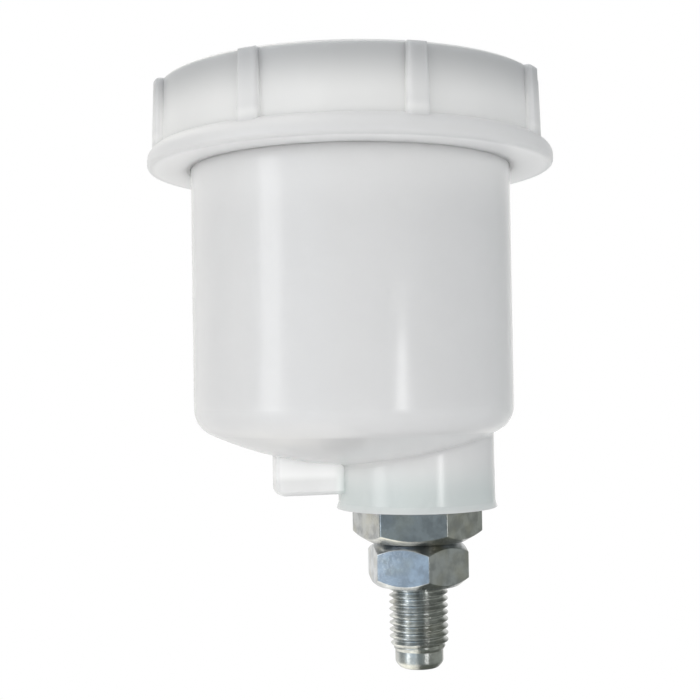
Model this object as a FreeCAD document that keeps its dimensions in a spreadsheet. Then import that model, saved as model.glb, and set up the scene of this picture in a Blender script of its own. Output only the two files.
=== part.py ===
import FreeCAD, Part
import math
import os
import re

import Sketcher

# A screw-in fluid reservoir: a translucent cup with an off-centre outlet boss, a screw cap, and a steel
# fitting with a threaded stud and a lock nut. Millimetres, +Z up. The origin is on the stud's axis in the
# plane of the lock nut's underside, which is the face that clamps the reservoir to what it feeds.
# +X points from the cup's axis to the stud's axis.

SIZES = {
    # the stack along the stud, upwards from the lock nut's underside
    "nut_height": 8.0,
    "nut_gap": 0.2,
    "hex_exposed": 6.35,
    "hex_in_boss": 5.15,
    "web_thickness": 2.5,
    "boss_length": 8.35,
    "cup_depth": 65.7,
    "gasket_thickness": 1.6,
    "cap_top_thickness": 2.6,
    # the stack downwards from the same plane
    "thread_length": 10.5,
    "thread_end": 1.6,
    "nose_length": 2.2,
    "tip_height": 1.05,
    # the fitting
    "thread_radius": 5.5,
    "thread_to_pitch_line": 0.36,
    "nose_radius": 4.5,
    "tip_chamfer": 0.9,
    "outlet_radius": 2.4,
    "hex_flats": 21.2,
    "hex_chamfer": 1.5,
    "hex_chamfer_angle": 30.0,
    "hex_turn": 7.7,
    "spigot_radius": 6.0,
    "spigot_above_web": 0.8,
    "seal_groove_width": 2.1,
    "seal_groove_depth": 1.4,
    "seal_width": 1.9,
    "seal_corner": 0.6,
    # the lock nut
    "nut_flats": 17.2,
    "nut_chamfer": 0.8,
    "nut_chamfer_angle": 38.0,
    "nut_turn": -7.3,
    "nut_countersink": 0.45,
    "running_clearance": 0.05,
    # the cup
    "cup_radius": 29.5,
    "cup_wall": 2.2,
    "floor_radius": 62.0,
    "floor_corner": 5.2,
    "rim_round": 0.3,
    "neck_length": 9.2,
    "neck_set_back": 0.9,
    "boss_inset": 2.9,
    "socket_wall": 2.36,
    "boss_flare": 0.45,
    "boss_draft": 0.1,
    "boss_foot_height": 1.2,
    "boss_sunk": 1.4,
    "boss_root_round": 1.0,
    "boss_wall": 2.4,
    "socket_clearance": 0.05,
    "lug_reach": 15.3,
    "lug_width": 3.8,
    "lug_lift": 2.95,
    "lug_corner": 1.8,
    "lug_edge": 0.7,
    # the cap
    "cap_cup_gap": 0.6,
    "cap_wall": 5.4,
    "skirt_taper": 0.5,
    "cap_top_round": 0.8,
    "bead_reach": 1.9,
    "bead_round": 2.4,
    "bead_foot_round": 0.8,
    "bead_side": 1.5,
    "skirt_length": 13.0,
    "cap_turn": 1.7,
    "rib_count": 8,
    "rib_width": 4.3,
    "rib_height": 1.3,
    "rib_top_round": 1.2,
    "rib_round": 1.0,
    "draft": 2.0,
    "rib_drop": 0.3,
    "vent_radius": 0.7,
    # the gasket
    "gasket_lap": 0.4,
    "gasket_gap": 0.3,
}

# radii that keep step with one another, as formulas over the sizes
ENGAGED = "(thread_radius - thread_to_pitch_line)"
BOSS = "(hex_flats / sqrt(3) + socket_wall)"
BOSS_OFFSET = f"(cup_radius - boss_inset - {BOSS})"
CUP_BORE = "(cup_radius - cup_wall)"
NECK = "(cup_radius - neck_set_back)"
SUMP = f"({BOSS} - boss_wall)"
CAP_BORE = "(cup_radius + cap_cup_gap)"
CAP_SKIRT = "(cup_radius + cap_cup_gap + cap_wall)"
CAP_TOP = "(cup_radius + cap_cup_gap + cap_wall - skirt_taper)"
BEAD = "(cup_radius + cap_cup_gap + cap_wall + bead_reach)"

# heights above the origin
HEX_BOTTOM = "nut_height + nut_gap"
BOSS_BOTTOM = HEX_BOTTOM + " + hex_exposed"
HEX_TOP = BOSS_BOTTOM + " + hex_in_boss"
SUMP_FLOOR = HEX_TOP + " + web_thickness"
FLOOR_LOW = BOSS_BOTTOM + " + boss_length"
RIM = FLOOR_LOW + " + cup_depth"
CAP_UNDERSIDE = RIM + " + gasket_thickness"
THREAD_FOOT = "-thread_length"
NOSE_TOP = THREAD_FOOT + " - thread_end"
NOSE_BOTTOM = NOSE_TOP + " - nose_length"
TIP = NOSE_BOTTOM + " - tip_height"

doc = FreeCAD.newDocument("reservoir")
sheet = doc.addObject("Spreadsheet::Sheet", "Sizes")
for row, (name, value) in enumerate(SIZES.items(), start=1):
    sheet.set(f"A{row}", str(value))
    sheet.setAlias(f"A{row}", name)
doc.recompute()


def formula(text):
    """Turns words that name sizes into references to their cells."""
    return re.sub(r"[a-z_]+", lambda word: "Sizes." + word[0] if word[0] in SIZES else word[0], text)


def number(text):
    """Works a formula out now, for a sketch's first shape and for finding edges."""
    return float(sheet.evalExpression(formula(text)))


def about_z(turn):
    """A rotation about Z by a formula in degrees."""
    return FreeCAD.Rotation(FreeCAD.Vector(0, 0, 1), number(turn))


def new_body(node, x="0", z="0", turn="0"):
    """Starts a sub-part whose own origin is moved along X and Z and turned about Z."""
    body = doc.addObject("PartDesign::Body", node)
    body.Label = node
    body.Placement = FreeCAD.Placement(FreeCAD.Vector(), about_z(turn))
    body.setExpression("Placement.Base.x", formula(x))
    body.setExpression("Placement.Base.z", formula(z))
    body.setExpression("Placement.Rotation.Angle", formula(turn))
    return body


def new_sketch(body, name, plane, offset_x="0", offset_z="0", turn="0"):
    """Adds a sketch on one of the body's own planes, its axes moved within or off that plane and turned in it."""
    sketch = body.newObject("Sketcher::SketchObject", name)
    origin_plane = next(feature for feature in body.Origin.OriginFeatures if feature.Role == plane)
    sketch.AttachmentSupport = [(origin_plane, "")]
    sketch.MapMode = "FlatFace"
    sketch.AttachmentOffset = FreeCAD.Placement(FreeCAD.Vector(), about_z(turn))
    sketch.setExpression("AttachmentOffset.Base.x", formula(offset_x))
    sketch.setExpression("AttachmentOffset.Base.z", formula(offset_z))
    sketch.setExpression("AttachmentOffset.Rotation.Angle", formula(turn))
    return sketch


def fix_point(sketch, curve, end, corner):
    """Holds one end of a curve at a corner given as two formulas."""
    for kind, text in zip(("DistanceX", "DistanceY"), corner):
        row = sketch.addConstraint(Sketcher.Constraint(kind, -1, 1, curve, end, number(text)))
        sketch.setExpression(f"Constraints[{row}]", formula(text))


def arc_between(start, end, radius):
    """The short arc from start to end, counter-clockwise for a positive radius."""
    chord = end - start
    middle = (start + end) * 0.5
    height = math.sqrt(max(radius * radius - chord.Length * chord.Length / 4, 0))
    side = FreeCAD.Vector(-chord.y, chord.x, 0).normalize() * math.copysign(1, radius)
    centre = middle + side * height
    top = centre - side * abs(radius)
    return Part.Arc(start, top, end)


def outline(sketch, corners):
    """Draws a closed outline. A corner is (x, y), or (x, y, radius) where an arc leads to it."""
    points = [FreeCAD.Vector(number(corner[0]), number(corner[1]), 0) for corner in corners]
    curves = []
    for index, corner in enumerate(corners):
        start = points[index - 1]
        end = points[index]
        if len(corner) == 3:
            shape = arc_between(start, end, number(corner[2]))
        else:
            shape = Part.LineSegment(start, end)
        curves.append(sketch.addGeometry(shape))
    for index, corner in enumerate(corners):
        turns_back = len(corner) == 3 and number(corner[2]) < 0
        end = 1 if turns_back else 2
        following = (index + 1) % len(corners)
        next_turns_back = len(corners[following]) == 3 and number(corners[following][2]) < 0
        start = 2 if next_turns_back else 1
        sketch.addConstraint(Sketcher.Constraint("Coincident", curves[index], end, curves[following], start))
        fix_point(sketch, curves[index], end, corner[:2])
        if len(corner) == 3:
            size = number(corner[2])
            row = sketch.addConstraint(Sketcher.Constraint("Radius", curves[index], abs(size)))
            sketch.setExpression(f"Constraints[{row}]", formula(f"abs({corner[2]})"))


def turned(body, name, kind, corners, offset_x="0"):
    """Revolves an outline, drawn as radius and height, about an upright axis at offset_x."""
    sketch = new_sketch(body, name + "Outline", "XZ_Plane", offset_x)
    outline(sketch, corners)
    feature = body.newObject("PartDesign::" + kind, name)
    feature.Profile = sketch
    feature.ReferenceAxis = (sketch, ["V_Axis"])
    feature.Angle = 360
    doc.recompute()
    return feature


def raised(body, name, kind, sketch, length):
    """Pads or pockets a sketch by a length given as a formula."""
    feature = body.newObject("PartDesign::" + kind, name)
    feature.Profile = sketch
    feature.setExpression("Length", formula(length))
    doc.recompute()
    return feature


def hexagon(body, name, flats, height, offset_x="0", turn="0"):
    """A sketch of a hexagon at a height, with two of its flats square to X before it is turned."""
    sketch = new_sketch(body, name, "XY_Plane", offset_x, height, turn)
    half = f"({flats}) / 2"
    corner = f"({flats}) / sqrt(3)"
    outline(
        sketch,
        [
            (half, f"-{corner} / 2"),
            (half, f"{corner} / 2"),
            ("0", corner),
            (f"-{half}", f"{corner} / 2"),
            (f"-{half}", f"-{corner} / 2"),
            ("0", f"-{corner}"),
        ],
    )
    return sketch


def rounded(body, name, radius, wanted):
    """Rounds the edges of the body's solid for which wanted(edge) holds."""
    base = body.Tip
    names = [f"Edge{index}" for index, edge in enumerate(base.Shape.Edges, start=1) if wanted(edge)]
    feature = body.newObject("PartDesign::Fillet", name)
    feature.Base = (base, names)
    feature.setExpression("Radius", formula(radius))
    doc.recompute()
    return feature


def is_ring(edge, radius, height):
    """Is this a circle about an upright axis, of this radius and at this height?"""
    if edge.Degenerated or not isinstance(edge.Curve, Part.Circle):
        return False
    level = abs(edge.Curve.Center.z - number(height)) < 0.01
    return level and abs(edge.Curve.Radius - number(radius)) < 0.01


def dished(low, dish, reach, corner):
    """An outline's lower corners: from the low point along a dish, and round a corner to the wall at reach."""
    drop = f"sqrt(({dish} - {corner}) ^ 2 - ({reach} - {corner}) ^ 2)"
    share = f"{dish} / ({dish} - {corner})"
    return [
        ("0", low),
        (f"{share} * ({reach} - {corner})", f"{low} + {dish} - {share} * {drop}", dish),
        (reach, f"{low} + {dish} - {drop}", corner),
    ]


def chamfer_hexagon(body, name, piece, end, inward):
    """Turns a cone on one end of the hex or the nut. inward is + or -, from that end into the piece."""
    end_radius = f"({piece}_flats / 2 - {piece}_chamfer)"
    reach = f"({piece}_flats / sqrt(3) + 1)"
    rise = f"({reach} - {end_radius}) * tan({piece}_chamfer_angle * 1 deg)"
    turned(
        body,
        name,
        "Groove",
        [
            (end_radius, end),
            (reach, f"{end} {inward} {rise}"),
            (reach, f"{end} {'-' if inward == '+' else '+'} 1"),
            (end_radius, f"{end} {'-' if inward == '+' else '+'} 1"),
        ],
    )


def make_reservoir_body():
    """The cup: domed floor, outlet boss with a hexagonal socket and a sump, and a lug beside the boss."""
    body = new_body("reservoir_body", x=f"-{BOSS_OFFSET}")
    turned(
        body,
        "Cup",
        "Revolution",
        [
            *dished(FLOOR_LOW, "floor_radius", "cup_radius", "floor_corner"),
            ("cup_radius", f"{RIM} - neck_length"),
            (NECK, f"{RIM} - neck_length + neck_set_back"),
            (NECK, RIM),
            ("0", RIM),
        ],
    )
    boss_reach = f"({BOSS_OFFSET} + {BOSS})"
    boss_top = f"{FLOOR_LOW} + floor_radius - sqrt(floor_radius ^ 2 - {boss_reach} ^ 2) + boss_sunk"
    turned(
        body,
        "Boss",
        "Revolution",
        [
            ("0", BOSS_BOTTOM),
            (f"{BOSS} + boss_flare", BOSS_BOTTOM),
            (f"{BOSS} + boss_draft", f"{BOSS_BOTTOM} + boss_foot_height"),
            (BOSS, boss_top),
            ("0", boss_top),
        ],
        offset_x=BOSS_OFFSET,
    )

    def on_boss_root(edge):
        if edge.Degenerated or isinstance(edge.Curve, Part.Line):
            return False
        middle = edge.valueAt((edge.FirstParameter + edge.LastParameter) / 2)
        away = math.hypot(middle.x - number(BOSS_OFFSET), middle.y)
        above_foot = middle.z > number(f"{BOSS_BOTTOM} + 2 * boss_foot_height")
        return above_foot and abs(away - number(BOSS)) < number("boss_flare")

    rounded(body, "BossRoot", "boss_root_round", on_boss_root)
    lug = new_sketch(body, "LugOutline", "XZ_Plane")
    lug_bottom = f"{BOSS_BOTTOM} + lug_lift"
    lug_root = f"{BOSS_OFFSET} - {BOSS} / 2"
    outline(
        lug,
        [
            (lug_root, lug_bottom),
            (lug_root, f"{FLOOR_LOW} + 2 * cup_wall"),
            ("-lug_reach", f"{FLOOR_LOW} + 2 * cup_wall"),
            ("-lug_reach", f"{lug_bottom} + lug_corner"),
            ("-lug_reach + lug_corner", lug_bottom, "lug_corner"),
        ],
    )
    pad = raised(body, "Lug", "Pad", lug, "lug_width")
    pad.SideType = "Symmetric"
    doc.recompute()
    lug_top = number(lug_bottom) + number("lug_corner") + 2

    def on_lug_outline(edge):
        box = edge.BoundBox
        at_side = abs(abs(box.YMin) - number("lug_width / 2")) < 0.01 and box.YLength < 0.01
        return at_side and box.ZMin < lug_top and box.XMin < number(f"{BOSS_OFFSET} - {BOSS}")

    rounded(body, "LugEdges", "lug_edge", on_lug_outline)
    turned(
        body,
        "Cavity",
        "Groove",
        [
            *dished(f"{FLOOR_LOW} + cup_wall", "(floor_radius - cup_wall)", CUP_BORE, "(floor_corner - cup_wall)"),
            (CUP_BORE, f"{RIM} + 1"),
            ("0", f"{RIM} + 1"),
        ],
    )
    turned(
        body,
        "Sump",
        "Groove",
        [
            ("0", SUMP_FLOOR),
            (SUMP, SUMP_FLOOR),
            (SUMP, f"{boss_top} + 1"),
            ("0", f"{boss_top} + 1"),
        ],
        offset_x=BOSS_OFFSET,
    )
    turned(
        body,
        "SpigotHole",
        "Groove",
        [
            ("0", f"{HEX_TOP} - 1"),
            ("spigot_radius + socket_clearance", f"{HEX_TOP} - 1"),
            ("spigot_radius + socket_clearance", f"{SUMP_FLOOR} + 1"),
            ("0", f"{SUMP_FLOOR} + 1"),
        ],
        offset_x=BOSS_OFFSET,
    )
    across = "hex_flats + 2 * socket_clearance"
    socket = hexagon(body, "SocketOutline", across, BOSS_BOTTOM, offset_x=BOSS_OFFSET, turn="hex_turn")
    pocket = raised(body, "Socket", "Pocket", socket, "hex_in_boss")
    pocket.Reversed = True
    doc.recompute()
    rounded(body, "Rim", "rim_round", lambda edge: is_ring(edge, NECK, RIM) or is_ring(edge, CUP_BORE, RIM))
    return body


def make_outlet_adapter():
    """The steel fitting: hexagon, threaded stud, plain nose, and a spigot up into the cup."""
    body = new_body("outlet_adapter", turn="hex_turn")
    hex_length = "hex_exposed + hex_in_boss"
    raised(body, "Hexagon", "Pad", hexagon(body, "HexagonOutline", "hex_flats", HEX_BOTTOM), hex_length)
    chamfer_hexagon(body, "HexagonChamfer", "hex", HEX_BOTTOM, "+")
    spigot_top = f"{SUMP_FLOOR} + spigot_above_web"
    turned(
        body,
        "Stud",
        "Revolution",
        [
            ("0", TIP),
            ("nose_radius - tip_chamfer", TIP),
            ("nose_radius", NOSE_BOTTOM),
            ("nose_radius", NOSE_TOP),
            ("thread_radius", THREAD_FOOT),
            ("thread_radius", "-running_clearance"),
            (ENGAGED, "-running_clearance"),
            (ENGAGED, f"{HEX_BOTTOM} + 1"),
            ("0", f"{HEX_BOTTOM} + 1"),
        ],
    )
    turned(
        body,
        "Spigot",
        "Revolution",
        [
            ("0", f"{HEX_TOP} - 1"),
            ("spigot_radius", f"{HEX_TOP} - 1"),
            ("spigot_radius", spigot_top),
            ("0", spigot_top),
        ],
    )
    turned(
        body,
        "SealGroove",
        "Groove",
        [
            ("spigot_radius", f"{HEX_TOP} - seal_groove_depth"),
            ("spigot_radius + seal_groove_width", f"{HEX_TOP} - seal_groove_depth"),
            ("spigot_radius + seal_groove_width", f"{HEX_TOP} + 1"),
            ("spigot_radius", f"{HEX_TOP} + 1"),
        ],
    )
    turned(
        body,
        "Bore",
        "Groove",
        [
            ("0", f"{TIP} - 1"),
            ("outlet_radius", f"{TIP} - 1"),
            ("outlet_radius", f"{spigot_top} + 1"),
            ("0", f"{spigot_top} + 1"),
        ],
    )
    return body


def make_adapter_o_ring():
    """The round seal under the web, squeezed flat between the web and its groove."""
    body = new_body("adapter_o_ring", z=f"{HEX_TOP} - seal_groove_depth")
    inner = "spigot_radius + (seal_groove_width - seal_width) / 2"
    outer = f"{inner} + seal_width"
    turned(
        body,
        "Ring",
        "Revolution",
        [
            (f"{inner} + seal_corner", "0", "seal_corner"),
            (f"{outer} - seal_corner", "0"),
            (outer, "seal_corner", "seal_corner"),
            (outer, "seal_groove_depth - seal_corner"),
            (f"{outer} - seal_corner", "seal_groove_depth", "seal_corner"),
            (f"{inner} + seal_corner", "seal_groove_depth"),
            (inner, "seal_groove_depth - seal_corner", "seal_corner"),
            (inner, "seal_corner"),
        ],
    )
    return body


def make_lock_nut():
    """The thin hexagonal nut, with its corners turned off at both ends and a countersink at each."""
    body = new_body("lock_nut", turn="nut_turn")
    raised(body, "Hexagon", "Pad", hexagon(body, "HexagonOutline", "nut_flats", "0"), "nut_height")
    chamfer_hexagon(body, "LowerChamfer", "nut", "0", "+")
    chamfer_hexagon(body, "UpperChamfer", "nut", "nut_height", "-")
    bore = f"{ENGAGED} + running_clearance"
    turned(
        body,
        "Bore",
        "Groove",
        [
            ("0", "-1"),
            (f"{bore} + nut_countersink + 1", "-1"),
            (bore, "nut_countersink"),
            (bore, "nut_height - nut_countersink"),
            (f"{bore} + nut_countersink + 1", "nut_height + 1"),
            ("0", "nut_height + 1"),
        ],
    )
    return body


def make_cap_gasket():
    """The flat ring between the cup's rim and the cap."""
    body = new_body("cap_gasket", x=f"-{BOSS_OFFSET}", z=RIM)
    turned(
        body,
        "Ring",
        "Revolution",
        [
            (f"{CUP_BORE} - gasket_lap", "0"),
            (f"{CAP_BORE} - gasket_gap", "0"),
            (f"{CAP_BORE} - gasket_gap", "gasket_thickness"),
            (f"{CUP_BORE} - gasket_lap", "gasket_thickness"),
        ],
    )
    return body


def make_cap():
    """The screw cap: a slightly tapered skirt with grip ribs, over a round bead."""
    body = new_body("cap", x=f"-{BOSS_OFFSET}", z=CAP_UNDERSIDE, turn="cap_turn")
    skirt_bottom = "-skirt_length"
    turned(
        body,
        "Shell",
        "Revolution",
        [
            ("0", "0"),
            (CAP_BORE, "0"),
            (CAP_BORE, skirt_bottom),
            (CAP_SKIRT, skirt_bottom),
            (CAP_TOP, "cap_top_thickness"),
            ("0", "cap_top_thickness"),
        ],
    )
    rounded(body, "TopEdge", "cap_top_round", lambda edge: is_ring(edge, CAP_TOP, "cap_top_thickness"))
    turned(
        body,
        "Bead",
        "Revolution",
        [
            (f"{CAP_SKIRT} - bead_round", skirt_bottom),
            (f"{BEAD} - bead_foot_round", skirt_bottom),
            (BEAD, f"{skirt_bottom} + bead_foot_round", "bead_foot_round"),
            (BEAD, f"{skirt_bottom} + bead_side"),
            (f"{BEAD} - bead_round", f"{skirt_bottom} + bead_side + bead_round", "bead_round"),
            (f"{CAP_SKIRT} - bead_round", f"{skirt_bottom} + bead_side + bead_round"),
        ],
    )
    rib_foot = f"{skirt_bottom} + bead_side"
    rib_reach = f"{CAP_SKIRT} + rib_height"
    rib = new_sketch(body, "RibOutline", "XY_Plane", offset_z=rib_foot)
    outline(
        rib,
        [
            (f"{CAP_BORE} + 1", "-rib_width / 2"),
            (f"{rib_reach} - rib_round", "-rib_width / 2"),
            (rib_reach, "-rib_width / 2 + rib_round", "rib_round"),
            (rib_reach, "rib_width / 2 - rib_round"),
            (f"{rib_reach} - rib_round", "rib_width / 2", "rib_round"),
            (f"{CAP_BORE} + 1", "rib_width / 2"),
        ],
    )
    first = raised(body, "Rib", "Pad", rib, f"cap_top_thickness - rib_drop - ({rib_foot})")
    first.setExpression("TaperAngle", formula("-draft"))
    ribs = body.newObject("PartDesign::PolarPattern", "Ribs")
    ribs.Originals = [first]
    ribs.Axis = (rib, ["N_Axis"])
    ribs.Angle = 360
    ribs.setExpression("Occurrences", formula("rib_count"))
    body.Tip = ribs
    doc.recompute()
    trim_radius = f"{rib_reach} - rib_top_round"
    trim_top = "cap_top_thickness - rib_drop"
    turned(
        body,
        "RibTops",
        "Groove",
        [
            (trim_radius, f"{trim_top} + 1"),
            (trim_radius, trim_top),
            (rib_reach, f"{trim_top} - rib_top_round", "-rib_top_round"),
            (f"{rib_reach} + 1", f"{trim_top} - rib_top_round"),
            (f"{rib_reach} + 1", f"{trim_top} + 1"),
        ],
    )
    turned(
        body,
        "Vent",
        "Groove",
        [
            ("0", "-1"),
            ("vent_radius", "-1"),
            ("vent_radius", "cap_top_thickness + 1"),
            ("0", "cap_top_thickness + 1"),
        ],
    )
    return body


make_reservoir_body()
make_outlet_adapter()
make_adapter_o_ring()
make_lock_nut()
make_cap_gasket()
make_cap()
doc.recompute()

for item in doc.Objects:
    if "Invalid" in item.State or "Error" in item.State:
        raise RuntimeError(f"{item.Name} did not build: {item.State}")

sub_parts = [item for item in doc.Objects if item.TypeId == "PartDesign::Body"]
for part in sub_parts:
    if part.Shape.isNull() or not part.Shape.isValid():
        raise RuntimeError(f"{part.Label} has no valid shape")

os.makedirs("parts", exist_ok=True)
for part in sub_parts:
    part.Shape.exportStep(f"parts/{part.Label}.step")
    box = part.Shape.BoundBox
    print(f"{part.Label}: {part.Shape.Volume:.0f} mm3, z {box.ZMin:.2f} to {box.ZMax:.2f}")
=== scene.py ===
import math

import bmesh
import bpy
from mathutils import Matrix, Vector


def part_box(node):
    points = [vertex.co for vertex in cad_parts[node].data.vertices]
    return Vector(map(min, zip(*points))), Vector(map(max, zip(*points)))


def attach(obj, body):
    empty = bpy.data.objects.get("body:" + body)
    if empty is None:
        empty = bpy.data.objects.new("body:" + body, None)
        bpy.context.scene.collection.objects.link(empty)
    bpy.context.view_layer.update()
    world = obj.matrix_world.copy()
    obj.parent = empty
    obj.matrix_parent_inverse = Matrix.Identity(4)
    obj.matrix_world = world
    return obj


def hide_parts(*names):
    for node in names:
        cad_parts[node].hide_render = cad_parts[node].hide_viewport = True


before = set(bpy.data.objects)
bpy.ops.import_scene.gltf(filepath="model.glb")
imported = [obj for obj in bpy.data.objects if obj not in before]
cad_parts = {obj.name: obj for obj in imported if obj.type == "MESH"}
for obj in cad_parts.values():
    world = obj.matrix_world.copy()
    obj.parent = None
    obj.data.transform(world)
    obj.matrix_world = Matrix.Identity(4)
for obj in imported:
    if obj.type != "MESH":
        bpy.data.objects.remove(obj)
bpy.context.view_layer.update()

MM = 0.001
TURN = 2 * math.pi
WHITE = (1.0, 1.0, 1.0)

# what the frame says
stud_low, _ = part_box("outlet_adapter")
cap_low, cap_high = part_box("cap")
STUD_AXIS = Vector((0, 0, 0))
CUP_AXIS = Vector(((cap_low.x + cap_high.x) / 2, 0, 0))

# the stud's fine thread, 7/16 inch with 20 threads to the inch, and the plain nose below it
THREAD_PITCH = 1.27 * MM
THREAD_DEPTH = 0.76 * MM
THREAD_RADIUS = 5.5 * MM
THREAD_TOP = 0.3 * MM
THREAD_CHAMFER_TOP = -10.5 * MM
THREAD_FOOT = -12.1 * MM
NOSE_RADIUS = 4.5 * MM
BORE_RADIUS = 2.4 * MM
THREAD_STEPS = 64
THREAD_MERGE = 0.002 * MM

# the fine thread's outline from root to root, in shares of its pitch and of its depth
THREAD_OUTLINE = (
    (0, 0), (0.06, 0.01), (0.14, 0.1), (0.42, 0.93), (0.46, 1),
    (0.54, 1), (0.58, 0.93), (0.86, 0.1), (0.94, 0.01), (1, 0),
)

# the coarse thread of the cap and the neck: a ridge of one coil and a bit in each
RIDGE_PITCH = 5 * MM
RIDGE_START = cap_low.z + 4.2 * MM
RIDGE_STEPS = 72
RIDGE_COUNT = 83
NECK_RADIUS = 28.6 * MM
NECK_RIDGE_HEIGHT = 0.85 * MM
CAP_BORE_RADIUS = 30.1 * MM
CAP_RIDGE_HEIGHT = 1.1 * MM
RIDGE_SUNK = 0.3 * MM

# the share of a turn in which a ridge fades out, and the share of its height that is left there
RIDGE_FADE = 0.1
RIDGE_END = 0.12

# the ridge's section: the share of its height, and the rise in mm
RIDGE_OUTLINE = (
    (0, -1.05), (0.55, -0.85), (0.9, -0.6), (1, -0.4),
    (1, 0.4), (0.9, 0.6), (0.55, 0.85), (0, 1.05),
)

# the lip inside the cap's lower edge, and its section as a radius and a rise
LIP_RADIUS = 29.66 * MM
LIP_ROOT = CAP_BORE_RADIUS + 0.3 * MM
LIP_OUTLINE = (
    (LIP_ROOT, 0.05 * MM),
    (LIP_RADIUS, 0.05 * MM),
    (LIP_RADIUS, 0.5 * MM),
    (LIP_ROOT, 1.2 * MM),
)
LIP_STEPS = 180

# how much the plating and tumbling have rounded the steel edges that are sharper than an angle
STEEL_EDGE = 0.35 * MM
NUT_EDGE = 0.6 * MM
SHARP_ANGLE = math.radians(22)

# a hexagon's flat is upright and larger than this, and gets a narrow margin along its edges
FLAT_TILT = 0.01
FLAT_AREA = 20 * MM * MM
FLAT_MARGIN = 0.08 * MM

# how meshes are merged, cut and shaded
MERGE_DISTANCE = 0.001 * MM
LEVEL_ANGLE = math.radians(0.4)
CUT_SNAP = 1e-7
SMOOTH_ANGLE = math.radians(35)

# the plastic: how far light goes into it, its clouds, the slow waves of its walls and its skin
PLASTIC_DEPTH = 5 * MM
CLOUD_SIZE = 14 * MM
CLOUD_EDGE = (0.3, 0.7)
CLOUD_DARKNESS = 0.97
CLOUD_DULLNESS = 0.06
WAVE_SIZE = 9 * MM
WAVE_DEPTH = 0.1 * MM
SKIN_SIZE = 0.35 * MM
SKIN_DEPTH = 0.003 * MM

# Where a name ends in EDGE, REACH, RISE or DEPTH and has two numbers, a soft mask is 0 at the
# first of them and 1 at the second.

# the cup's tint, and where painted shade and painted light change it: reach is from the stud's axis,
# rise from the frame's origin
CUP_TINT = (0.96, 0.96, 0.95)
# painted shade on the cup's lug
LUG_REACH = (15.6 * MM, 16.6 * MM)
LUG_RISE = (21.5 * MM, 20 * MM)
LUG_SHARE = 0.9
LUG_PAINTED_SHADE = (0.74, 0.74, 0.74)
# grey-green painted shade on the boss, round the steel hexagon inside it
BOSS_REACH = (17 * MM, 15 * MM)
BOSS_RISE = (26 * MM, 17 * MM)
BOSS_SHARE = 0.75
BOSS_PAINTED_SHADE = (0.62, 0.68, 0.67)
# painted light on the cup just under the cap
NEAR_CAP_RISE = (cap_low.z - 12 * MM, cap_low.z)
NEAR_CAP_PAINTED_LIGHT = 0.8

# the cap's tint, and where painted shade and painted light change it: reach is from its axis, rise
# from its lower edge, depth from its top
CAP_TINT = (0.87, 0.87, 0.86)
# painted shade on the cap's bead and ribs
BEAD_REACH = (34.5 * MM, 36 * MM)
BEAD_RISE = (5 * MM, 3 * MM)
RIB_REACH = (35.6 * MM, 36.1 * MM)
RIB_RISE = (4 * MM, 6 * MM)
RIB_SHARE = 0.7
BEAD_SHARE = 0.9
BEAD_PAINTED_SHADE = (0.7, 0.7, 0.7)
# painted light under the cap's skirt
UNDER_REACH = (37 * MM, 35.5 * MM)
UNDER_RISE = (0.7 * MM, 0.2 * MM)
# painted shade down the cap's sides from its top edge, kept off its flat top
DISC_DEPTH = (9 * MM, -1.5 * MM)
SIDE_DEPTH = (0.1 * MM, 0.6 * MM)
DISC_SHARE = 0.8
DISC_PAINTED_SHADE = (0.32, 0.33, 0.34)

# the zinc plating: its stains, its golden film, its lumps and the tool marks under it
FITTING_ZINC = (0.56, 0.57, 0.57)
THREAD_ZINC = (0.64, 0.65, 0.64)
NUT_ZINC = (0.6, 0.62, 0.65)
STEEL_ROUGHNESS = 0.15
STAIN_SIZE = 2.2 * MM
STAIN_EDGE = (0.35, 0.65)
STAIN_DARKNESS = 0.72
STAIN_DULLNESS = 0.14
GOLD = (0.68, 0.64, 0.5)
GOLD_SIZE = 5 * MM
GOLD_EDGE = (0.45, 0.75)
GOLD_SHARE = 0.35
LUMP_SIZE = 0.5 * MM
TOOL_MARK_HEIGHT = 0.004 * MM

# the seals' rubber, with the dust and texture on it
GASKET_TINT = (0.62, 0.62, 0.6)
SEAL_TINT = (0.02, 0.02, 0.02)
RUBBER_ROUGHNESS = 0.62
DUST_SIZE = 1.5 * MM
DUST_EDGE = (0.3, 0.8)
DUST_HEIGHT = 0.01 * MM
DUST_DULLNESS = 0.15
DUST_LIGHTER = 1.25
DUST_LEAST = 0.01

# the photograph's viewpoint
CAMERA_DISTANCE = 232 * MM
CAMERA_BELOW_CAP = 54.2 * MM
CAMERA_TURN = math.radians(16)
CAMERA_PITCH = math.radians(1.34)
CAMERA_ROLL = math.radians(0.92)
CAMERA_SHIFT = -0.00242
FOCAL_PIXELS = 1248
FRAME_PIXELS = 700
SENSOR = 36

# the level directions that the camera looks in and has on its right
AHEAD = Vector((math.sin(CAMERA_TURN), math.cos(CAMERA_TURN), 0))
RIGHT = Vector((AHEAD.y, -AHEAD.x, 0))

# where the soft boxes stand
LIGHT_DISTANCE = 1.0
EYE_LEVEL = 38 * MM

# What the steel mirrors: the tent's wall, and its light and dark ends above and below. A direction
# is given by how far it points away from the camera, to its right, and up, from -1 to 1.
HALF_BACK = -0.71
WINDOW_EDGE = (0.8, 0.97)
WINDOW_BLUE = (0.46, 0.6, 0.74)
FRONT_DARK = (0.26, 0.3, 0.31)
RIGHT_EDGE = (0.1, 0.7)
RIGHT_DARK = (0.33, 0.35, 0.32)
BACK_TURN = 0.25
BACK_EDGE = (0.45, 0.9)
BACK_WHITE = (0.92, 0.92, 0.9)
ENDS_EDGE = (-0.24, -0.08)
ENDS_RISE = (0.3, 0.6)
ENDS_LIGHT = (1.6, 1.57, 1.44)
ENDS_DARK = (0.12, 0.13, 0.11)

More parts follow.
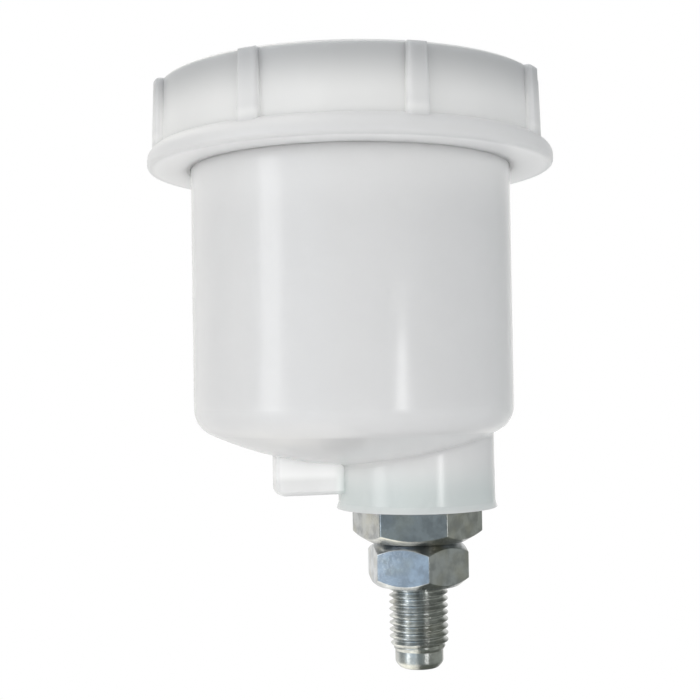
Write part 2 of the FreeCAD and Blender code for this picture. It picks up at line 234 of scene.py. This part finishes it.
# the soft light on the plastic: dimmer from the left and from high up, brighter from the camera
SOFT_EDGE = (-0.9, 0.7)
SOFT_LEFT = (0.46, 0.46, 0.45)
SOFT_RIGHT = (1.0, 1.01, 1.02)
NEAR_EDGE = (0.0, -0.8)
SOFT_NEAR = (1.58, 1.58, 1.57)
HIGH_TURN = 0.2
HIGH_RISE = (0.1, 0.7)
HIGH_EDGE = (-0.3, 0.6)
HIGH_LEFT = (0.3, 0.31, 0.33)
HIGH_RIGHT = (0.03, 0.05, 0.08)
OVERHEAD_RISE = (0.74, 0.9)
OVERHEAD_LIGHT = (1.5, 1.5, 1.5)

# the floor, in metres, and what it gives the plastic and the steel
FLOOR_HALF = 4
FLOOR_DROP = 0.12
FLOOR_CORE = 0.0001
FLOOR_EDGE = (-0.2, 0.9)
FLOOR_LEFT = (0.68, 0.68, 0.68)
FLOOR_RIGHT = (0.62, 0.63, 0.64)
FLOOR_ENDS_REACH = (0.3, 0.12)
FLOOR_ENDS_SPREAD = 0.6


class Wire:
    """A socket of a material's nodes. Arithmetic on wires adds Math nodes."""

    def __init__(self, board, socket):
        self.board = board
        self.socket = socket

    def maths(self, operation, *others):
        inputs = dict(enumerate((self, *others)))
        return self.board.add("ShaderNodeMath", {"operation": operation}, inputs)

    def __add__(self, other):
        return self.maths("ADD", other)

    def __sub__(self, other):
        return self.maths("SUBTRACT", other)

    def __rsub__(self, other):
        return self.maths("MULTIPLY_ADD", -1, other)

    def __mul__(self, other):
        return self.maths("MULTIPLY", other)

    __radd__ = __add__
    __rmul__ = __mul__

    def __truediv__(self, other):
        return self.maths("DIVIDE", other)

    def __pow__(self, other):
        return self.maths("POWER", other)

    def ramp(self, low, high):
        """0 below low and 1 above high, smooth in between. low may be the larger one."""
        settings = {"interpolation_type": "SMOOTHSTEP"}
        return self.board.add("ShaderNodeMapRange", settings, {0: self, 1: low, 2: high})


class Board:
    """The nodes of one material or of the world."""

    def __init__(self, owner):
        self.owner = owner
        owner.use_nodes = True
        self.tree = owner.node_tree
        self.tree.nodes.clear()

    def add(self, kind, settings=None, inputs=None, output=0):
        """Adds a node: its settings first, then the values or wires of its sockets."""
        node = self.tree.nodes.new(kind)
        for name, value in (settings or {}).items():
            setattr(node, name, value)
        for name, value in (inputs or {}).items():
            if isinstance(value, Wire):
                self.tree.links.new(value.socket, node.inputs[name])
            else:
                node.inputs[name].default_value = value
        return Wire(self, node.outputs[output])

    def place(self):
        """The place on the object in metres, which moves with its piece."""
        return self.add("ShaderNodeTexCoord", output="Object")

    def axes(self, vector):
        """The three numbers of a vector."""
        split = self.add("ShaderNodeSeparateXYZ", inputs={0: vector})
        return [Wire(self, socket) for socket in split.socket.node.outputs]

    def ray(self, kind):
        """1 for the rays of a kind, such as Is Camera Ray, and 0 for the others."""
        return self.add("ShaderNodeLightPath", output=kind)

    def noise(self, place, size, detail=2.0):
        """Soft noise from 0 to 1, with lumps of about this size in metres."""
        inputs = {"Vector": place, "Scale": 1 / size, "Detail": detail, "Roughness": 0.5}
        return self.add("ShaderNodeTexNoise", inputs=inputs)

    def mix(self, share, one, two):
        """Colour one where share is 0, and colour two where it is 1."""
        settings = {"data_type": "RGBA"}
        node = self.add("ShaderNodeMix", settings, {"Factor": share}).socket.node
        for socket, value in zip([s for s in node.inputs if s.type == "RGBA"], (one, two)):
            if isinstance(value, Wire):
                self.tree.links.new(value.socket, socket)
            else:
                socket.default_value = (*value, 1)
        return Wire(self, next(s for s in node.outputs if s.type == "RGBA"))

    def bump(self, height, distance, normal=None):
        """Raises the surface by distance metres where height is 1."""
        inputs = {"Height": height, "Distance": distance, "Strength": 1.0}
        if normal:
            inputs["Normal"] = normal
        return self.add("ShaderNodeBump", inputs=inputs)

    def finish(self, shader, kind="ShaderNodeOutputMaterial"):
        """Leads the shader to the output and gives back the material or world."""
        node = self.tree.nodes.new(kind)
        self.tree.links.new(shader.socket, node.inputs["Surface"])
        return self.owner


def radius_about(x, y, axis):
    """How far a place is from an upright axis."""
    return ((x - axis.x) ** 2 + (y - axis.y) ** 2) ** 0.5


def milky_plastic(name, colour, roughness, shade):
    """Unfilled white moulding: cloudy, light goes some way into it, with a satin skin.

    shade(board, x, y, z, tint) paints shade and light into its tint, by place on the part.
    """
    board = Board(bpy.data.materials.new(name))
    place = board.place()
    x, y, z = board.axes(place)
    cloud = board.noise(place, CLOUD_SIZE, detail=3)
    skin = board.noise(place, SKIN_SIZE)
    waves = board.noise(place, WAVE_SIZE, detail=1)
    darker = tuple(channel * CLOUD_DARKNESS for channel in colour)
    tint = shade(board, x, y, z, board.mix(cloud.ramp(*CLOUD_EDGE), darker, colour))
    normal = board.bump(waves, WAVE_DEPTH)
    normal = board.bump(skin, SKIN_DEPTH, normal)
    shader = board.add(
        "ShaderNodeBsdfPrincipled",
        {"subsurface_method": "RANDOM_WALK"},
        {
            "Base Color": tint,
            "Roughness": roughness + cloud * CLOUD_DULLNESS,
            "IOR": 1.5,
            "Specular IOR Level": 0.4,
            "Subsurface Weight": 1.0,
            "Subsurface Radius": (1.0, 1.0, 1.0),
            "Subsurface Scale": PLASTIC_DEPTH,
            "Normal": normal,
        },
    )
    return board.finish(shader)


def cup_shade(board, x, y, z, tint):
    """Paints shade on the cup's lug, grey-green shade on its boss round the steel hexagon, and light
    just under the cap."""
    reach = radius_about(x, y, STUD_AXIS)
    # masks of painted shade on the lug and the boss, and of painted light under the cap
    lug_shade = reach.ramp(*LUG_REACH) * z.ramp(*LUG_RISE)
    boss_shade = reach.ramp(*BOSS_REACH) * z.ramp(*BOSS_RISE)
    tint = board.mix(lug_shade * LUG_SHARE, tint, LUG_PAINTED_SHADE)
    tint = board.mix(boss_shade * BOSS_SHARE, tint, BOSS_PAINTED_SHADE)
    return board.mix(z.ramp(*NEAR_CAP_RISE) * NEAR_CAP_PAINTED_LIGHT, tint, WHITE)


def cap_shade(board, x, y, z, tint):
    """Paints shade on the cap's bead and ribs and round its thick disc, keeps its flat top out of
    that shade, and paints light under its skirt."""
    reach = radius_about(x, y, CUP_AXIS)
    rise = z - cap_low.z
    depth = cap_high.z - z
    # masks of painted shade on the bead, the ribs and round the disc, and of painted light under the
    # skirt
    bead_shade = reach.ramp(*BEAD_REACH) * rise.ramp(*BEAD_RISE)
    rib_shade = reach.ramp(*RIB_REACH) * rise.ramp(*RIB_RISE)
    under_light = reach.ramp(*UNDER_REACH) * rise.ramp(*UNDER_RISE)
    disc_shade = depth.ramp(*DISC_DEPTH) * depth.ramp(*SIDE_DEPTH)
    tint = board.mix((bead_shade + rib_shade * RIB_SHARE) * BEAD_SHARE, tint, BEAD_PAINTED_SHADE)
    tint = board.mix(under_light, tint, WHITE)
    return board.mix(disc_shade * DISC_SHARE, tint, DISC_PAINTED_SHADE)


def plated_steel(name, colour, lump_height, tool_mark_pitch):
    """Zinc plate over steel, with stains, and tool marks about the stud's axis."""
    board = Board(bpy.data.materials.new(name))
    place = board.place()
    x, y, z = board.axes(place)
    stain = board.noise(place, STAIN_SIZE, detail=4)
    lumps = board.noise(place, LUMP_SIZE, detail=3)
    gold = board.noise(place, GOLD_SIZE, detail=2).ramp(*GOLD_EDGE)
    stained = tuple(channel * STAIN_DARKNESS for channel in colour)
    tint = board.mix(stain.ramp(*STAIN_EDGE), colour, stained)
    tint = board.mix(gold * GOLD_SHARE, tint, GOLD)
    along = z + radius_about(x, y, STUD_AXIS)
    tool_marks = (along * (TURN / tool_mark_pitch)).maths("SINE")
    normal = board.bump(lumps, lump_height)
    normal = board.bump(tool_marks, TOOL_MARK_HEIGHT, normal)
    shader = board.add(
        "ShaderNodeBsdfPrincipled",
        inputs={
            "Base Color": tint,
            "Metallic": 1.0,
            "Roughness": STEEL_ROUGHNESS + stain * STAIN_DULLNESS,
            "Normal": normal,
        },
    )
    return board.finish(shader)


def soft_rubber(name, colour):
    """A seal: dull, with a faint mould texture."""
    board = Board(bpy.data.materials.new(name))
    dust = board.noise(board.place(), DUST_SIZE, detail=3)
    dusty = tuple(min(1, channel * DUST_LIGHTER + DUST_LEAST) for channel in colour)
    shader = board.add(
        "ShaderNodeBsdfPrincipled",
        inputs={
            "Base Color": board.mix(dust.ramp(*DUST_EDGE), colour, dusty),
            "Roughness": RUBBER_ROUGHNESS + dust * DUST_DULLNESS,
            "Normal": board.bump(dust, DUST_HEIGHT),
        },
    )
    return board.finish(shader)


def new_piece(name, mesh, material, body):
    """Makes an object of a bmesh, smooth up to an angle, that rides on a body."""
    data = bpy.data.meshes.new(name)
    for face in mesh.faces:
        face.smooth = True
    for edge in mesh.edges:
        edge.smooth = len(edge.link_faces) == 2 and edge.calc_face_angle() < SMOOTH_ANGLE
    mesh.to_mesh(data)
    mesh.free()
    data.materials.append(material)
    piece = bpy.data.objects.new(name, data)
    bpy.context.scene.collection.objects.link(piece)
    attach(piece, body)
    return piece


def copy_of(node):
    """A merged copy of a node's mesh, with its flat faces whole."""
    mesh = bmesh.new()
    mesh.from_mesh(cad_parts[node].data)
    bmesh.ops.remove_doubles(mesh, verts=mesh.verts, dist=MERGE_DISTANCE)
    bmesh.ops.dissolve_limit(
        mesh,
        angle_limit=LEVEL_ANGLE,
        verts=mesh.verts,
        edges=mesh.edges,
    )
    return mesh


def worn_edges(mesh, width):
    """Rounds the sharp edges, and gives a hexagon's flats a margin that keeps them flat."""
    sharp = [
        edge
        for edge in mesh.edges
        if len(edge.link_faces) == 2 and edge.calc_face_angle() > SHARP_ANGLE
    ]
    bmesh.ops.bevel(
        mesh,
        geom=sharp,
        offset=width,
        offset_type="OFFSET",
        segments=3,
        profile=0.5,
        affect="EDGES",
        clamp_overlap=True,
        material=-1,
    )
    flats = [
        face
        for face in mesh.faces
        if abs(face.normal.z) < FLAT_TILT and face.calc_area() > FLAT_AREA
    ]
    bmesh.ops.inset_individual(mesh, faces=flats, thickness=FLAT_MARGIN, use_even_offset=True)
    return mesh


def cut_off(mesh, height, below):
    """Cuts a mesh at a height and drops what lies below or above it."""
    bmesh.ops.bisect_plane(
        mesh,
        geom=mesh.verts[:] + mesh.edges[:] + mesh.faces[:],
        dist=CUT_SNAP,
        plane_co=(0, 0, height),
        plane_no=(0, 0, 1),
        clear_inner=below,
        clear_outer=not below,
    )


def open_rims(mesh):
    """The edges that have a face on one side only."""
    return [edge for edge in mesh.edges if edge.is_boundary]


def closed(mesh):
    """Bridges the two open rims of a mesh."""
    bmesh.ops.bridge_loops(mesh, edges=open_rims(mesh))
    bmesh.ops.recalc_face_normals(mesh, faces=mesh.faces)
    return mesh


def set_radius(vert, radius):
    """Moves a point level to a radius about the stud's axis."""
    reach = math.hypot(vert.co.x, vert.co.y)
    vert.co.x *= radius / reach
    vert.co.y *= radius / reach


def thread_surface(top, bottom):
    """The stud's thread as a sleeve down to the bore, flat at both ends and coned at its foot."""
    mesh = bmesh.new()
    turns = math.ceil((top - bottom) / THREAD_PITCH) + 2
    root = THREAD_RADIUS - THREAD_DEPTH
    start = bottom - THREAD_PITCH
    points = [
        mesh.verts.new((root + depth * THREAD_DEPTH, 0, start + share * THREAD_PITCH))
        for share, depth in THREAD_OUTLINE
    ]
    edges = [mesh.edges.new(pair) for pair in zip(points[:-1], points[1:])]
    bmesh.ops.spin(
        mesh,
        geom=points + edges,
        cent=STUD_AXIS,
        axis=(0, 0, 1),
        dvec=(0, 0, THREAD_PITCH / THREAD_STEPS),
        angle=TURN * turns,
        steps=THREAD_STEPS * turns,
    )
    bmesh.ops.remove_doubles(mesh, verts=mesh.verts, dist=THREAD_MERGE)

    # the cone at its foot, and the cuts
    slope = (THREAD_RADIUS - NOSE_RADIUS) / (THREAD_CHAMFER_TOP - THREAD_FOOT)
    for vert in mesh.verts:
        most = NOSE_RADIUS + max(0.0, vert.co.z - THREAD_FOOT) * slope
        if math.hypot(vert.co.x, vert.co.y) > most:
            set_radius(vert, most)
    cut_off(mesh, top, below=False)
    cut_off(mesh, bottom, below=True)

    # the flat ends, from the thread in to the bore, and then the wall of the bore
    for part in bmesh.ops.extrude_edge_only(mesh, edges=open_rims(mesh))["geom"]:
        if isinstance(part, bmesh.types.BMVert):
            set_radius(part, BORE_RADIUS)
    return closed(mesh)


def screw_ridge(root, height, turned):
    """The ridge of the coarse thread about the cup's axis, from its root radius by its height.

    A negative height points inwards. It starts at the angle turned, fades out at both ends and
    is sunk in its wall.
    """
    mesh = bmesh.new()
    sunk = root - math.copysign(RIDGE_SUNK, height)
    middle = Vector((CUP_AXIS.x, 0, RIDGE_START))
    start = Vector((math.cos(turned), math.sin(turned), 0))
    points = []
    for share, rise in RIDGE_OUTLINE:
        outwards = start * (sunk + share * (root + height - sunk))
        points.append(mesh.verts.new(middle + outwards + Vector((0, 0, rise * MM))))
    edges = [mesh.edges.new(pair) for pair in zip(points, points[1:] + points[:1])]
    bmesh.ops.spin(
        mesh,
        geom=points + edges,
        cent=middle,
        axis=(0, 0, 1),
        dvec=(0, 0, RIDGE_PITCH / RIDGE_STEPS),
        angle=TURN * RIDGE_COUNT / RIDGE_STEPS,
        steps=RIDGE_COUNT,
    )

    # gone is how many turns of the ridge lie behind a point
    length = RIDGE_COUNT / RIDGE_STEPS
    for vert in mesh.verts:
        offset = vert.co - middle
        part = (math.atan2(offset.y, offset.x) - turned) / TURN % 1
        gone = part + round(offset.z / RIDGE_PITCH - part)
        share = max(0.0, min(1.0, gone / RIDGE_FADE, (length - gone) / RIDGE_FADE))
        reach = math.hypot(offset.x, offset.y)
        scale = (sunk + (reach - sunk) * (RIDGE_END + (1 - RIDGE_END) * share)) / reach
        vert.co.x = middle.x + offset.x * scale
        vert.co.y = middle.y + offset.y * scale
    bmesh.ops.holes_fill(mesh, edges=open_rims(mesh), sides=len(RIDGE_OUTLINE))
    bmesh.ops.recalc_face_normals(mesh, faces=mesh.faces)
    return mesh


def skirt_lip():
    """The thin lip inside the skirt's lower edge, which all but touches the cup."""
    mesh = bmesh.new()
    points = [
        mesh.verts.new((CUP_AXIS.x + reach, 0, cap_low.z + rise))
        for reach, rise in LIP_OUTLINE
    ]
    edges = [mesh.edges.new(pair) for pair in zip(points, points[1:] + points[:1])]
    bmesh.ops.spin(
        mesh,
        geom=points + edges,
        cent=CUP_AXIS,
        axis=(0, 0, 1),
        angle=TURN,
        steps=LIP_STEPS,
        use_merge=True,
    )
    bmesh.ops.recalc_face_normals(mesh, faces=mesh.faces)
    return mesh


def make_fitting(steel, thread_steel):
    """The steel fitting: the CAD solid with worn edges, and a cut thread for the plain stud."""
    top = copy_of("outlet_adapter")
    cut_off(top, THREAD_TOP, below=True)
    top = closed(worn_edges(top, STEEL_EDGE))
    fitting = new_piece("fitting_hexagon", top, steel, "reservoir")
    nose = copy_of("outlet_adapter")
    cut_off(nose, THREAD_FOOT, below=False)
    nose = closed(worn_edges(nose, STEEL_EDGE))
    new_piece("fitting_nose", nose, thread_steel, "reservoir")
    thread = thread_surface(THREAD_TOP, THREAD_FOOT)
    new_piece("fitting_thread", thread, thread_steel, "reservoir")
    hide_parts("outlet_adapter")


def make_nut(steel):
    """The lock nut: the CAD solid with worn edges."""
    worn = worn_edges(copy_of("lock_nut"), NUT_EDGE)
    nut = new_piece("thin_lock_nut", worn, steel, "lock_nut")
    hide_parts("lock_nut")


def dress(node, material):
    """Gives a CAD node its finish."""
    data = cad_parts[node].data
    data.materials.clear()
    data.materials.append(material)


def place_camera():
    """Puts the camera at the photograph's viewpoint, tilted up a little and rolled a little."""
    forward = AHEAD * math.cos(CAMERA_PITCH) + Vector((0, 0, math.sin(CAMERA_PITCH)))
    up = RIGHT.cross(forward)
    rolled_right = RIGHT * math.cos(CAMERA_ROLL) - up * math.sin(CAMERA_ROLL)
    rolled_up = RIGHT * math.sin(CAMERA_ROLL) + up * math.cos(CAMERA_ROLL)
    data = bpy.data.cameras.new("camera")
    data.sensor_width = SENSOR
    data.lens = SENSOR * FOCAL_PIXELS / FRAME_PIXELS
    data.clip_start = 0.01
    data.clip_end = 20
    camera = bpy.data.objects.new("camera", data)
    spot = CUP_AXIS - AHEAD * CAMERA_DISTANCE + RIGHT * CAMERA_SHIFT * CAMERA_DISTANCE
    spot.z = cap_high.z - CAMERA_BELOW_CAP
    axes = Matrix((rolled_right, rolled_up, -forward)).transposed()
    camera.matrix_world = Matrix.Translation(spot) @ axes.to_4x4()
    bpy.context.scene.collection.objects.link(camera)
    bpy.context.scene.camera = camera


def strip_light(name, turn, low, high, width, radiance):
    """An upright soft box that faces the cup, turn degrees round from the camera to its right.

    low and high are the elevations of its ends and width its angle, in degrees, and radiance
    is 1 for the backdrop.
    """
    angle = math.radians(turn)
    direction = -AHEAD * math.cos(angle) + RIGHT * math.sin(angle)
    foot, head = (math.tan(math.radians(end)) * LIGHT_DISTANCE for end in (low, high))
    data = bpy.data.lights.new(name, "AREA")
    data.shape = "RECTANGLE"
    data.size = 2 * LIGHT_DISTANCE * math.tan(math.radians(width) / 2)
    data.size_y = head - foot
    data.energy = radiance * math.pi * data.size * data.size_y
    lamp = bpy.data.objects.new(name, data)
    middle = CUP_AXIS + Vector((0, 0, EYE_LEVEL + (foot + head) / 2))
    lamp.location = middle + direction * LIGHT_DISTANCE
    lamp.rotation_mode = "QUATERNION"
    lamp.rotation_quaternion = direction.to_track_quat("Z", "Y")
    lamp.visible_camera = False
    bpy.context.scene.collection.objects.link(lamp)


def level_parts(x, y):
    """How far a direction points away from the camera, and how far to its right."""
    return x * AHEAD.x + y * AHEAD.y, x * RIGHT.x + y * RIGHT.y


def tent_wall(board, ahead, aside):
    """What the steel mirrors: dark round the camera, with a blue window to its left, and white
    behind the object."""
    window = ((ahead + aside) * HALF_BACK).ramp(*WINDOW_EDGE)
    nearer = board.mix(window, FRONT_DARK, WINDOW_BLUE)
    nearer = board.mix(aside.ramp(*RIGHT_EDGE), nearer, RIGHT_DARK)
    return board.mix((ahead - aside * BACK_TURN).ramp(*BACK_EDGE), nearer, BACK_WHITE)


def tent_ends(board, aside):
    """What the thread's flanks mirror from above and below: light on the left, dark on the right."""
    return board.mix(aside.ramp(*ENDS_EDGE), ENDS_LIGHT, ENDS_DARK)


def light_room():
    """A white tent. The camera sees it white, the plastic takes soft light from it, and the steel
    mirrors a darker front."""
    world = bpy.data.worlds.new("studio")
    bpy.context.scene.world = world
    world.cycles.sampling_method = "NONE"
    board = Board(world)
    x, y, z = board.axes(board.add("ShaderNodeTexCoord", output="Generated"))
    ahead, aside = level_parts(x, y)
    soft = board.mix(aside.ramp(*SOFT_EDGE), SOFT_LEFT, SOFT_RIGHT)
    soft = board.mix(ahead.ramp(*NEAR_EDGE), soft, SOFT_NEAR)
    high = board.mix(aside.ramp(*HIGH_EDGE), HIGH_LEFT, HIGH_RIGHT)
    soft = board.mix((z + aside * HIGH_TURN).ramp(*HIGH_RISE), soft, high)
    soft = board.mix(z.ramp(*OVERHEAD_RISE), soft, OVERHEAD_LIGHT)
    wall = tent_wall(board, ahead, aside)
    mirrored = board.mix(z.ramp(*ENDS_RISE), wall, tent_ends(board, aside))
    colour = board.mix(board.ray("Is Glossy Ray"), soft, mirrored)
    colour = board.mix(board.ray("Is Camera Ray"), colour, WHITE)
    glow = board.add("ShaderNodeBackground", inputs={"Color": colour})
    board.finish(glow, "ShaderNodeOutputWorld")
    strip_light("left_soft_box", turn=-57, low=-40, high=16, width=16, radiance=2.9)
    strip_light("right_soft_box", turn=33, low=-40, high=2, width=7, radiance=8.5)


def floor_finish():
    """White to the camera, soft light on the plastic, and the tent's wall and lower end in the steel.

    From underneath it is clear, so that a camera below it sees the part.
    """
    board = Board(bpy.data.materials.new("white_floor"))
    x, y, _ = board.axes(board.place())
    ahead, aside = level_parts(x, y)
    reach = (x ** 2 + y ** 2 + FLOOR_CORE) ** 0.5
    ahead = ahead / reach
    aside = aside / reach
    soft = board.mix(aside.ramp(*FLOOR_EDGE), FLOOR_LEFT, FLOOR_RIGHT)
    wall = tent_wall(board, ahead, aside)
    ends = tent_ends(board, aside * FLOOR_ENDS_SPREAD)
    mirrored = board.mix(reach.ramp(*FLOOR_ENDS_REACH), wall, ends)
    paint = board.mix(board.ray("Is Glossy Ray"), soft, mirrored)
    paint = board.mix(board.ray("Is Camera Ray"), paint, WHITE)
    lit = board.add("ShaderNodeEmission", inputs={"Color": paint, "Strength": 1.0})
    below = board.add("ShaderNodeNewGeometry", output="Backfacing")
    clear = board.add("ShaderNodeBsdfTransparent")
    return board.finish(board.add("ShaderNodeMixShader", inputs={0: below, 1: lit, 2: clear}))


def lay_floor():
    """The tent's white floor, some way below the stud, because the reservoir is in mid-air."""
    mesh = bmesh.new()
    bmesh.ops.create_grid(mesh, x_segments=1, y_segments=1, size=FLOOR_HALF)
    data = bpy.data.meshes.new("floor")
    mesh.to_mesh(data)
    mesh.free()
    data.materials.append(floor_finish())
    floor = bpy.data.objects.new("floor", data)
    floor.location.z = stud_low.z - FLOOR_DROP
    bpy.context.scene.collection.objects.link(floor)


cup_plastic = milky_plastic("cup_plastic_finish", CUP_TINT, roughness=0.15, shade=cup_shade)
cap_plastic = milky_plastic("cap_plastic_finish", CAP_TINT, roughness=0.3, shade=cap_shade)
fitting_steel = plated_steel(
    "fitting_steel_finish",
    FITTING_ZINC,
    lump_height=0.012 * MM,
    tool_mark_pitch=0.22 * MM,
)
thread_steel = plated_steel(
    "thread_steel_finish",
    THREAD_ZINC,
    lump_height=0.006 * MM,
    tool_mark_pitch=0.12 * MM,
)
nut_steel = plated_steel(
    "nut_steel_finish",
    NUT_ZINC,
    lump_height=0.03 * MM,
    tool_mark_pitch=0.3 * MM,
)

dress("reservoir_body", cup_plastic)
dress("cap", cap_plastic)
dress("cap_gasket", soft_rubber("gasket_rubber_finish", GASKET_TINT))
dress("adapter_o_ring", soft_rubber("seal_rubber_finish", SEAL_TINT))
make_fitting(fitting_steel, thread_steel)
make_nut(nut_steel)

# the cap's ridge starts half a turn further round, so that the two stay clear of each other
neck_ridge = screw_ridge(NECK_RADIUS, NECK_RIDGE_HEIGHT, turned=0)
cap_ridge = screw_ridge(CAP_BORE_RADIUS, -CAP_RIDGE_HEIGHT, turned=math.pi)
new_piece("neck_thread", neck_ridge, cup_plastic, "reservoir")
new_piece("cap_thread", cap_ridge, cap_plastic, "cap")
new_piece("cap_lip", skirt_lip(), cap_plastic, "cap")

lay_floor()
light_room()
place_camera()
bpy.context.scene.view_settings.view_transform = "Standard"
